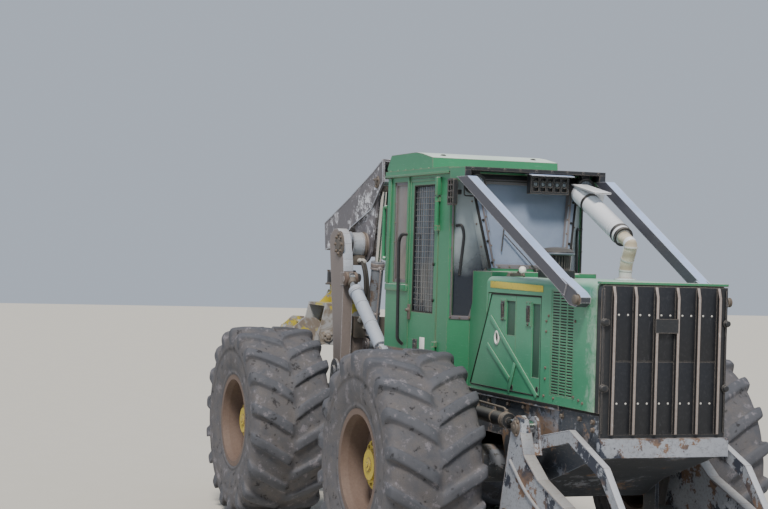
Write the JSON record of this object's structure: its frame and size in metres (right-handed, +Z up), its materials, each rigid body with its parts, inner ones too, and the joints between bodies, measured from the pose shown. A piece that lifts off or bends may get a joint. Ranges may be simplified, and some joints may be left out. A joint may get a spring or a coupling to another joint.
{
  "type": "articulated grapple skidder",
  "caption": "Articulated four-wheel log skidder with an enclosed guarded cab, a front dozer blade and a rear arch, boom and hanging tong grapple.",
  "frame": {"origin": "on the ground under the centre of the parked machine's outline", "axes": "+X forward to the blade, +Y to the machine's left, +Z up"},
  "size_m": [7.78, 3.175, 3.41],
  "materials": {
    "green_paint": "worn gloss",
    "dark_grey_paint": "dusty satin",
    "black_paint": "satin",
    "yellow_paint": "rubbed and rusty",
    "worn_steel": "scratched",
    "rod_chrome": "polished",
    "cast_iron": "oily",
    "heat_shield": "dull",
    "tyre_rubber": "dusty",
    "clear_window": "clear",
    "seat_fabric": "woven"
  },
  "bodies": {
    "front": {"front_frame": "dark_grey_paint", "front_bumper": "worn_steel", "front_axle": "dark_grey_paint", "engine_block": "cast_iron", "hood": "green_paint", "hood_side_panels": "green_paint", "grille": "black_paint", "limb_risers": "dark_grey_paint", "exhaust": "heat_shield", "air_intake": "black_paint", "side_steps": "black_paint", "cab_body": "green_paint", "cab_roof": "green_paint", "cab_glass": "clear_window", "rear_guard": "green_paint", "work_lamps": "black_paint", "seat": "seat_fabric", "console": "dark_grey_paint"},
    "rear": {"rear_frame": "dark_grey_paint", "rear_axle": "dark_grey_paint"},
    "door_right": {"door_right": "green_paint"},
    "door_left": {"door_left": "green_paint"},
    "blade": {"blade_arms": "worn_steel", "blade": "worn_steel"},
    "blade_barrels": {"blade_barrels": "black_paint"},
    "blade_rods": {"blade_rods": "rod_chrome"},
    "steer_barrel_right": {"steer_barrel_right": "worn_steel"},
    "steer_barrel_left": {"steer_barrel_left": "worn_steel"},
    "steer_rod_right": {"steer_rod_right": "rod_chrome"},
    "steer_rod_left": {"steer_rod_left": "rod_chrome"},
    "arch": {"arch": "worn_steel"},
    "arch_barrels": {"arch_barrels": "worn_steel"},
    "arch_rods": {"arch_rods": "rod_chrome"},
    "boom": {"boom": "worn_steel"},
    "boom_barrels": {"boom_barrels": "worn_steel"},
    "boom_rods": {"boom_rods": "rod_chrome"},
    "crosshead": {"crosshead": "black_paint"},
    "rotator": {"rotator": "black_paint"},
    "grapple_head": {"grapple_head": "yellow_paint"},
    "tong_right": {"tong_right": "yellow_paint"},
    "tong_left": {"tong_left": "yellow_paint"},
    "tong_barrel": {"tong_barrel": "worn_steel"},
    "tong_rod": {"tong_rod": "rod_chrome"},
    "wheel_front_right": {"tyre_front_right": "tyre_rubber", "rim_front_right": "yellow_paint"},
    "wheel_front_left": {"tyre_front_left": "tyre_rubber", "rim_front_left": "yellow_paint"},
    "wheel_rear_right": {"tyre_rear_right": "tyre_rubber", "rim_rear_right": "yellow_paint"},
    "wheel_rear_left": {"tyre_rear_left": "tyre_rubber", "rim_rear_left": "yellow_paint"}
  },
  "joints": [
    {"name": "articulation", "type": "hinge", "parent": "front", "child": "rear", "pos_m": [-0.41, 0, 0], "axis": [0, 0, 1], "range_deg": [-45, 45]},
    {"name": "steer_barrel_right_pin", "type": "hinge", "parent": "front", "child": "steer_barrel_right", "pos_m": [-0.06, -0.2, 1], "axis": [0, 0, 1], "range_deg": [-24.4, 24.4]},
    {"name": "steer_rod_right_slide", "type": "slide", "parent": "steer_barrel_right", "child": "steer_rod_right", "axis": [-1, 0, 0], "range_m": [-0.1536, 0.1536]},
    {"name": "steer_barrel_left_pin", "type": "hinge", "parent": "front", "child": "steer_barrel_left", "pos_m": [-0.06, 0.2, 1], "axis": [0, 0, 1], "range_deg": [-24.4, 24.4]},
    {"name": "steer_rod_left_slide", "type": "slide", "parent": "steer_barrel_left", "child": "steer_rod_left", "axis": [-1, 0, 0], "range_m": [-0.1536, 0.1536]},
    {"name": "wheel_front_right_spin", "type": "hinge", "parent": "front", "child": "wheel_front_right", "pos_m": [1.34, -1.2, 0.895], "axis": [0, 1, 0], "continuous": true},
    {"name": "wheel_front_left_spin", "type": "hinge", "parent": "front", "child": "wheel_front_left", "pos_m": [1.34, 1.2, 0.895], "axis": [0, 1, 0], "continuous": true},
    {"name": "wheel_rear_right_spin", "type": "hinge", "parent": "rear", "child": "wheel_rear_right", "pos_m": [-2.16, -1.2, 0.895], "axis": [0, 1, 0], "continuous": true},
    {"name": "wheel_rear_left_spin", "type": "hinge", "parent": "rear", "child": "wheel_rear_left", "pos_m": [-2.16, 1.2, 0.895], "axis": [0, 1, 0], "continuous": true},
    {"name": "door_right_hinge", "type": "hinge", "parent": "front", "child": "door_right", "pos_m": [0.548, -0.62, 1.5], "axis": [0, 0, 1], "range_deg": [0, 85]},
    {"name": "door_left_hinge", "type": "hinge", "parent": "front", "child": "door_left", "pos_m": [0.548, 0.62, 1.5], "axis": [0, 0, -1], "range_deg": [0, 85]},
    {"name": "blade_lift", "type": "hinge", "parent": "front", "child": "blade", "pos_m": [2.29, 0, 0.6], "axis": [0, -1, 0], "range_deg": [-8, 16]},
    {"name": "blade_barrels_pin", "type": "hinge", "parent": "front", "child": "blade_barrels", "pos_m": [1.09, 0, 1.325], "axis": [0, -1, 0], "range_deg": [-0.8, 1.3]},
    {"name": "blade_rods_slide", "type": "slide", "parent": "blade_barrels", "child": "blade_rods", "axis": [0.9997, 0, -0.0258], "range_m": [-0.1952, 0.0979]},
    {"name": "arch_swing", "type": "hinge", "parent": "rear", "child": "arch", "pos_m": [-2.11, 0, 1.38], "axis": [0, 1, 0], "range_deg": [-50, 6]},
    {"name": "arch_barrels_pin", "type": "hinge", "parent": "rear", "child": "arch_barrels", "pos_m": [-0.96, 0, 1.62], "axis": [0, -1, 0], "range_deg": [-2.4, 18.1]},
    {"name": "arch_rods_slide", "type": "slide", "parent": "arch_barrels", "child": "arch_rods", "axis": [-0.8295, 0, 0.5585], "range_m": [-0.077, 0.6378]},
    {"name": "boom_lift", "type": "hinge", "parent": "arch", "child": "boom", "pos_m": [-2.11, 0, 2.595], "axis": [0, -1, 0], "range_deg": [-45, 8]},
    {"name": "boom_barrels_pin", "type": "hinge", "parent": "arch", "child": "boom_barrels", "pos_m": [-2.02, 0, 1.64], "axis": [0, -1, 0], "range_deg": [-18.1, 3.4]},
    {"name": "boom_rods_slide", "type": "slide", "parent": "boom_barrels", "child": "boom_rods", "axis": [0.1649, 0, 0.9863], "range_m": [-0.2847, 0.0511]},
    {"name": "grapple_swing", "type": "hinge", "parent": "boom", "child": "crosshead", "pos_m": [-3.6, 0, 2.58], "axis": [0, 1, 0], "range_deg": [-20, 20]},
    {"name": "grapple_roll", "type": "hinge", "parent": "crosshead", "child": "rotator", "pos_m": [-3.6, 0, 2.395], "axis": [1, 0, 0], "range_deg": [-15, 15]},
    {"name": "grapple_turn", "type": "hinge", "parent": "rotator", "child": "grapple_head", "pos_m": [-3.6, 0, 2.18], "axis": [0, 0, 1], "continuous": true},
    {"name": "tong_left_open", "type": "hinge", "parent": "grapple_head", "child": "tong_left", "pos_m": [-3.6, 0.23, 1.64], "axis": [1, 0, 0], "range_deg": [0, 50]},
    {"name": "tong_right_open", "type": "hinge", "parent": "grapple_head", "child": "tong_right", "pos_m": [-3.6, -0.23, 1.64], "axis": [-1, 0, 0], "range_deg": [0, 50]},
    {"name": "tong_barrel_pin", "type": "hinge", "parent": "tong_left", "child": "tong_barrel", "pos_m": [-3.6, 0.4, 1.772], "axis": [-1, 0, 0], "range_deg": [0, 50]},
    {"name": "tong_rod_slide", "type": "slide", "parent": "tong_barrel", "child": "tong_rod", "axis": [0, -1, 0], "range_m": [-0.3108, 0.0005]}
  ],
  "couplings": [
    {"joint": "steer_barrel_right_pin", "follows": "articulation", "ratio": 0.53695},
    {"joint": "steer_rod_right_slide", "follows": "articulation", "m_per_rad": -0.19482},
    {"joint": "steer_barrel_left_pin", "follows": "articulation", "ratio": 0.53695},
    {"joint": "steer_rod_left_slide", "follows": "articulation", "m_per_rad": 0.19482},
    {"joint": "blade_barrels_pin", "follows": "blade_lift", "ratio": 0.06501},
    {"joint": "blade_rods_slide", "follows": "blade_lift", "m_per_rad": -0.69696},
    {"joint": "arch_barrels_pin", "follows": "arch_swing", "ratio": -0.35672},
    {"joint": "arch_rods_slide", "follows": "arch_swing", "m_per_rad": -0.73023},
    {"joint": "boom_barrels_pin", "follows": "boom_lift", "ratio": 0.39739},
    {"joint": "boom_rods_slide", "follows": "boom_lift", "m_per_rad": 0.36181},
    {"joint": "tong_right_open", "follows": "tong_left_open", "ratio": 1},
    {"joint": "tong_barrel_pin", "follows": "tong_left_open", "ratio": 1},
    {"joint": "tong_rod_slide", "follows": "tong_left_open", "m_per_rad": -0.3555}
  ]
}
